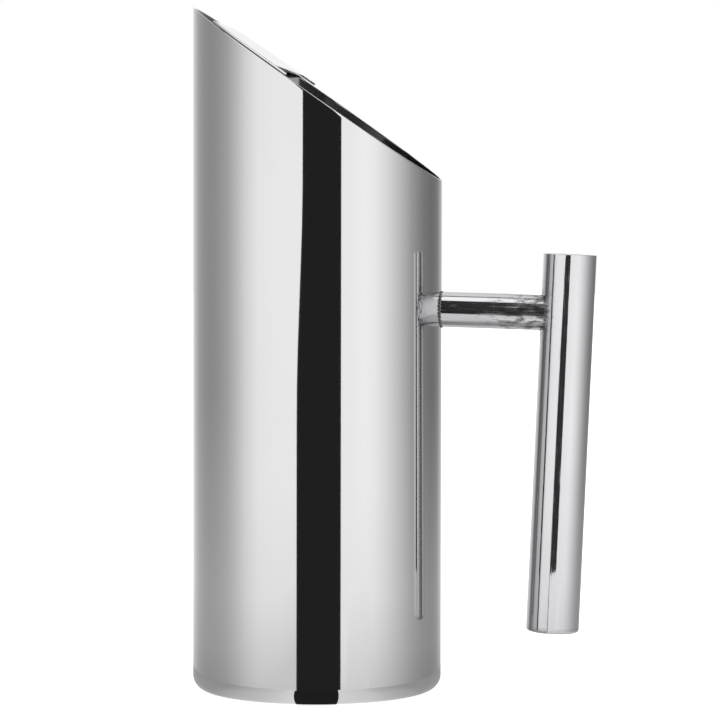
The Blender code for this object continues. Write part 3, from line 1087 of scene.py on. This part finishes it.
@dataclass
class Studio:
    """A white tent with one upright opening, which the polished steel shows as a dark stripe."""

    radius: float = 0.430
    foot: float = -0.120
    head: float = 0.600
    rows: int = 32
    open_left: float = -40.0
    open_right: float = 45.0
    left_edge: tuple[float, float] = (-0.066, -0.571)
    right_edge: tuple[float, float] = (0.124, -0.254)
    left_spread: float = 0.062
    spread_top: float = 0.215
    spread_height: float = 0.130
    card: float = 0.088
    card_middle: tuple[float, float] = (0.0024, -0.0218)
    card_open: tuple[float, float] = (-8.1, 21.0)
    low_card: tuple[float, float] = (0.060, 0.122)
    low_card_y: float = -0.110
    low_card_top: float = 0.038
    low_card_dim: tuple[float, float] = (-0.007, 0.61)
    low_card_bright: tuple[float, float] = (0.038, 0.80)
    strength: float = 1.73
    card_rim: float = 0.9
    card_height: float = -0.2 * MM
    # Under the card's front cut lies a near-black disc of painted shade, standing for the floor's shadow
    # there
    shadow_disc_height: float = -1.5 * MM
    shadow_disc_thickness: float = 1.0 * MM
    shadow_disc_glow: float = 0.022
    floor_size: float = 12.0
    floor_glow: float = 0.75

    # Azimuth in degrees, from -Y towards +X, and how bright the cloth is there
    falloff: tuple[tuple[float, float], ...] = (
        (-165.0, 0.56), (-150.0, 0.50), (-141.0, 0.42), (-130.0, 0.315), (-117.0, 0.265), (-106.0, 0.25),
        (-97.0, 0.265), (-88.0, 0.30), (-80.0, 0.35), (-73.0, 0.43), (-66.0, 0.53), (-59.0, 0.65),
        (-46.0, 0.80), (-28.0, 0.83), (33.0, 0.83), (48.0, 0.87), (57.0, 0.83), (70.0, 0.68),
        (83.0, 0.50), (98.0, 0.31), (105.0, 0.255), (115.0, 0.185), (129.0, 0.145), (138.0, 0.150),
        (148.0, 0.185), (155.0, 0.28), (164.0, 0.33), (179.0, 0.58))

    # The same for the card, which lies so close that each part of the foot sees the card next to it
    card_falloff: tuple[tuple[float, float], ...] = (
        (-120.0, 0.26), (-55.0, 0.28), (-37.0, 0.41), (-17.0, 0.54), (-5.0, 0.66), (22.0, 0.62), (35.0, 0.55),
        (45.0, 0.43), (56.0, 0.36), (68.0, 0.28), (120.0, 0.24))

    # Height in metres, and how far the cloth there keeps its contrast and is filled in by the floor
    fill_in: tuple[tuple[float, float, float], ...] = (
        (-0.052, 0.50, 0.145), (-0.036, 0.57, 0.165), (-0.006, 0.75, 0.140), (0.050, 0.92, 0.058),
        (0.100, 1.0, 0.0))

    # Degrees from the front over the top to the back, and how bright the room round the tent is there
    bands: tuple[tuple[float, float], ...] = (
        (-180.0, 0.55), (-126.0, 0.46), (-34.0, 0.60), (-24.5, 0.58), (-23.5, 0.014), (61.5, 0.014),
        (63.0, 0.93), (93.5, 0.95), (95.0, 0.05), (101.5, 0.05), (103.0, 0.66), (180.0, 0.55))

    @staticmethod
    def ramp_place(azimuth: float) -> float:
        """Where an azimuth falls on a radial gradient, from 0 to 1."""
        return ((azimuth + 90.0) / 360.0) % 1.0

    def cloth(self) -> Material:
        """White tent cloth, lit from outside, brightest in front and behind.

        Returns:
            The cloth's material.
        """
        material, tree = self.lit_material("lit_tent_cloth")
        point = add(tree, "TexCoord").outputs["Object"]
        around = self.around(tree, point, self.falloff)
        height = add(tree, "SeparateXYZ", {}, {"Vector": point}).outputs["Z"]
        share = add(tree, "MapRange", {"From Min": self.foot, "From Max": self.fill_in[-1][0]},
                    {"Value": height})
        low = add(tree, "ValToRGB", {}, {"Fac": share.outputs["Result"]})
        self.fill_height(low.color_ramp)
        parts = add(tree, "SeparateColor", {}, {"Color": low.outputs["Color"]})
        level = add(tree, "Math", {"operation": "MULTIPLY_ADD"},
                    {0: around, 1: parts.outputs["Red"], 2: parts.outputs["Green"]})
        self.light_up(tree, level.outputs[0])
        return material

    def card_board(self) -> Material:
        """Pale card, lit from above.

        Returns:
            The card's material.
        """
        material, tree = self.lit_material("lit_pale_card")
        point = add(tree, "TexCoord").outputs["Object"]
        self.light_up(tree, self.around(tree, point, self.card_falloff))
        return material

    @staticmethod
    def lit_material(name: str) -> tuple[Material, NodeTree]:
        """Start a material with no nodes.

        Args:
            name: the material's name.

        Returns:
            The material and its node tree.
        """
        material = bpy.data.materials.new(name)
        material.use_nodes = True
        material.node_tree.nodes.clear()
        return material, material.node_tree

    def light_up(self, tree: NodeTree, level: NodeSocket) -> None:
        """Make a surface glow.

        Args:
            tree: the material's nodes.
            level: how bright it is, from 0 to 1.
        """
        power = add(tree, "Math", {"operation": "MULTIPLY", 1: self.strength}, {0: level})
        glow = add(tree, "Emission", {}, {"Strength": power.outputs[0]})
        add(tree, "OutputMaterial", {}, {"Surface": glow.outputs["Emission"]})

    def around(self, tree: NodeTree, point: NodeSocket,
               levels: tuple[tuple[float, float], ...]) -> NodeSocket:
        """Brightness that changes round the compass.

        Args:
            tree: the material's nodes.
            point: the surface's coordinates.
            levels: azimuths in degrees, and the brightness at each.

        Returns:
            The brightness.
        """
        radial = add(tree, "TexGradient", {"gradient_type": "RADIAL"}, {"Vector": point})
        node = add(tree, "ValToRGB", {}, {"Fac": radial.outputs["Fac"]})
        stops = sorted((self.ramp_place(azimuth), level) for azimuth, level in levels)
        before, after = stops[-1], stops[0]
        span = after[0] + 1.0 - before[0]
        seam = before[1] + (after[1] - before[1]) * (1.0 - before[0]) / span
        for end in node.color_ramp.elements:
            end.color = (seam, seam, seam, 1.0)
        for place, level in stops:
            node.color_ramp.elements.new(place).color = (level, level, level, 1.0)
        return node.outputs["Color"]

    def fill_height(self, ramp: ColorRamp) -> None:
        """Set how the cloth's contrast and fill change with height.

        Args:
            ramp: the ramp that reads the height; red is contrast and green is fill.
        """
        span = self.fill_in[-1][0] - self.foot
        ramp.elements[0].color = (*self.fill_in[0][1:], 0.0, 1.0)
        ramp.elements[1].color = (*self.fill_in[-1][1:], 0.0, 1.0)
        for height, contrast, fill in self.fill_in[:-1]:
            ramp.elements.new((height - self.foot) / span).color = (contrast, fill, 0.0, 1.0)

    def build_tent(self, cloth: Material) -> None:
        """Stand the tent's wall round the pitcher, with a flat panel on either side of its opening.

        Args:
            cloth: the wall's material.
        """
        wall = cylinder("tent_wall", self.radius, self.head - self.foot, 360, False,
                        Matrix.Translation((0.0, 0.0, (self.head + self.foot) / 2)))
        apply_place()
        add_rows(wall, self.rows)
        with editing(wall):
            select(wall, Pick.FACES,
                   lambda face: self.open_left < self.azimuth(middle(face)) < self.open_right)
            bpy.ops.mesh.delete(type="FACE")
            for end, edge in ((self.open_left, self.left_edge), (self.open_right, self.right_edge)):
                start = self.wall_spot(end)
                select(wall, Pick.EDGES, lambda side: side.is_boundary and abs(edge_line(side).z) > 0.99
                       and abs(self.azimuth(middle(side)) - end) < 1.0)
                move = (edge[0] - start.x, edge[1] - start.y, 0.0)
                bpy.ops.mesh.extrude_edges_move(TRANSFORM_OT_translate={"value": move})
            self.slant_left_edge(wall)
        wall.data.materials.append(cloth)
        wall.visible_camera = False
        wall.visible_shadow = False

    def slant_left_edge(self, wall: Object) -> None:
        """Draw the lower half of the left panel's free edge aside, as cloth hangs.

        Args:
            wall: the tent's wall, in edit mode.
        """
        corner = Vector((*self.left_edge, 0.0))
        aside = (self.wall_spot(self.open_left) - corner).normalized()
        form = bmesh.from_edit_mesh(wall.data)
        heights = sorted({round(v.co.z, 5) for v in form.verts if (v.co.xy - corner.xy).length < 0.001})
        for height in heights:
            share = min(max((self.spread_top - height) / self.spread_height, 0.0), 1.0)
            slide = aside * (self.left_spread * share * share * (3.0 - 2.0 * share))
            select(wall, Pick.VERTS, lambda v: (v.co.xy - corner.xy).length < 0.001
                   and abs(v.co.z - height) < 0.0001)
            if slide.length > 0.0:
                bpy.ops.transform.translate(value=slide)

    def wall_spot(self, azimuth: float) -> Vector:
        """The point of the wall's circle at an azimuth."""
        turn = math.radians(azimuth)
        return Vector((self.radius * math.sin(turn), -self.radius * math.cos(turn), 0.0))

    @staticmethod
    def azimuth(spot: Vector) -> float:
        """The compass angle of a spot, in degrees from -Y towards +X."""
        return math.degrees(math.atan2(spot.x, -spot.y))

    def build_card(self) -> None:
        """Lay a round card under the pitcher, cut away in front over a near-black disc of painted floor
        shadow, for its foot to reflect.
        """
        sides = 180
        deselect()
        bpy.ops.mesh.primitive_circle_add(vertices=sides, radius=self.card, fill_type="TRIFAN",
                                          location=(0.0, 0.0, self.card_height))
        card = bpy.context.object
        card.name = "foot_card"
        apply_place()
        with editing(card):
            left, right = self.card_open
            rim = self.card_rim * self.card
            select(card, Pick.FACES, lambda face: all(left < self.azimuth(vert.co) < right
                                                      for vert in face.verts if vert.co.length > rim))
            bpy.ops.mesh.delete(type="FACE")
            select(card, Pick.VERTS, lambda vert: vert.co.xy.length < rim)
            bpy.ops.transform.translate(value=(*self.card_middle, 0.0))
        card.data.materials.append(self.card_board())
        self.show_in_steel_only(card)
        # Painted shade: a near-black disc under the card's front cut stands for the floor's shadow, seen only
        # in the steel
        dark = cylinder("painted_shadow_disc", self.card, self.shadow_disc_thickness, sides, True,
                        Matrix.Translation((0.0, 0.0, self.shadow_disc_height)))
        apply_place()
        dark.data.materials.append(self.painted_floor_shadow())
        self.show_in_steel_only(dark)

    def build_low_card(self) -> None:
        """Stand a small card in front of the grip's foot, which ends the dark stripe there."""
        left, right = self.low_card
        tall = self.low_card_top - self.foot
        deselect()
        bpy.ops.mesh.primitive_plane_add(size=1.0)
        card = bpy.context.object
        card.name = "grip_card"
        with editing(card):
            bpy.ops.mesh.select_all(action="SELECT")
            bpy.ops.transform.rotate(value=math.pi / 2, orient_axis="X", center_override=(0.0, 0.0, 0.0))
            bpy.ops.transform.resize(value=(right - left, 1.0, tall), center_override=(0.0, 0.0, 0.0))
            spot = ((left + right) / 2, self.low_card_y, (self.low_card_top + self.foot) / 2)
            bpy.ops.transform.translate(value=spot)
        material, tree = self.lit_material("lit_small_card")
        point = add(tree, "TexCoord").outputs["Object"]
        height = add(tree, "SeparateXYZ", {}, {"Vector": point}).outputs["Z"]
        (low, dim), (high, bright) = self.low_card_dim, self.low_card_bright
        fade = {"From Min": low, "From Max": high, "To Min": dim, "To Max": bright}
        level = add(tree, "MapRange", fade, {"Value": height})
        self.light_up(tree, level.outputs["Result"])
        card.data.materials.append(material)
        self.show_in_steel_only(card)

    @staticmethod
    def show_in_steel_only(item: Object) -> None:
        """Keep a card out of the camera's sight and off the floor's light.

        Args:
            item: the card.
        """
        item.visible_camera = False
        item.visible_diffuse = False
        item.visible_shadow = False

    def painted_floor_shadow(self) -> Material:
        """Painted shade: a near-black sheet that stands for the floor's shadow in front of the foot, seen
        only in the steel.

        Returns:
            The painted shadow's material.
        """
        material, tree = self.lit_material("painted_floor_shadow")
        glow = add(tree, "Emission", {"Strength": self.shadow_disc_glow})
        add(tree, "OutputMaterial", {}, {"Surface": glow.outputs["Emission"]})
        return material

    def build_floor(self) -> None:
        """Lay a plain white floor."""
        deselect()
        bpy.ops.mesh.primitive_plane_add(size=self.floor_size)
        floor = bpy.context.object
        floor.name = "white_floor"
        material, tree = self.lit_material("white_paper_floor")
        paper = add(tree, "BsdfDiffuse", {"Color": linear("#E8E8E8")})
        glow = add(tree, "Emission", {"Strength": self.floor_glow})
        both = add(tree, "AddShader", {}, {0: paper.outputs[0], 1: glow.outputs[0]})
        add(tree, "OutputMaterial", {}, {"Surface": both.outputs[0]})
        floor.data.materials.append(material)
        floor.visible_glossy = False

    def build_world(self) -> None:
        """Surround the tent: white where it is looked at, dark in front, bright above and behind."""
        world = bpy.data.worlds.new("studio")
        bpy.context.scene.world = world
        world.use_nodes = True
        tree = world.node_tree
        tree.nodes.clear()
        way = add(tree, "TexCoord").outputs["Generated"]
        parts = add(tree, "SeparateXYZ", {}, {"Vector": way})
        back = add(tree, "Math", {"operation": "MULTIPLY", 1: -1.0}, {0: parts.outputs["Y"]})
        turn = add(tree, "Math", {"operation": "ARCTAN2"}, {0: parts.outputs["Z"], 1: back.outputs[0]})
        place = add(tree, "MapRange", {"From Min": -math.pi, "From Max": math.pi}, {"Value": turn.outputs[0]})
        ramp = add(tree, "ValToRGB", {}, {"Fac": place.outputs["Result"]})
        ramp.color_ramp.elements[0].color = (self.bands[0][1],) * 3 + (1.0,)
        ramp.color_ramp.elements[1].color = (self.bands[-1][1],) * 3 + (1.0,)
        for angle, level in self.bands[1:-1]:
            ramp.color_ramp.elements.new((angle + 180.0) / 360.0).color = (level, level, level, 1.0)
        room = add(tree, "Background", {"Strength": self.strength}, {"Color": ramp.outputs["Color"]})
        seen = add(tree, "Background", {"Strength": 1.0, "Color": (1.0, 1.0, 1.0, 1.0)})
        ray = add(tree, "LightPath").outputs["Is Camera Ray"]
        mixed = add(tree, "MixShader", {}, {0: ray, 1: room.outputs[0], 2: seen.outputs[0]})
        add(tree, "OutputWorld", {}, {"Surface": mixed.outputs[0]})

    def build(self) -> None:
        """Make the room."""
        bpy.context.scene.view_settings.view_transform = "Standard"
        self.build_tent(self.cloth())
        self.build_card()
        self.build_low_card()
        self.build_floor()
        self.build_world()


@dataclass
class Camera:
    """A long lens at the pitcher's side, a little towards the handle, just below the rim's low side."""

    azimuth: float = 6.406
    distance: float = 1.2548
    height: float = 0.1955
    yaw: float = -0.795
    pitch: float = -1.893
    roll: float = 0.101
    lens: float = 153.45
    sensor: float = 36.0
    shift_y: float = -0.0667

    def build(self) -> None:
        """Place the camera and make it the scene's."""
        data = bpy.data.cameras.new("camera")
        data.lens = self.lens
        data.sensor_width = self.sensor
        data.shift_y = self.shift_y
        data.dof.use_dof = False
        camera = bpy.data.objects.new("camera", data)
        bpy.context.scene.collection.objects.link(camera)
        around = math.radians(self.azimuth)
        heading = around + math.radians(self.yaw)
        place = Vector((self.distance * math.sin(around), -self.distance * math.cos(around), self.height))
        turn = Matrix.Rotation(heading, 4, "Z") @ Matrix.Rotation(math.radians(90.0 + self.pitch), 4, "X")
        turn = turn @ Matrix.Rotation(math.radians(self.roll), 4, "Z")
        camera.matrix_world = Matrix.Translation(place) @ turn
        bpy.context.scene.camera = camera


def main() -> None:
    """Build the pitcher piece by piece, then the room and the camera."""
    logging.basicConfig(level=logging.INFO, format="%(name)s: %(message)s")
    vessel = Vessel()
    vessel.build()
    IceGuard(vessel=vessel).build()
    Handle(vessel=vessel).build()
    Studio().build()
    Camera().build()


if __name__ == "__main__":
    main()
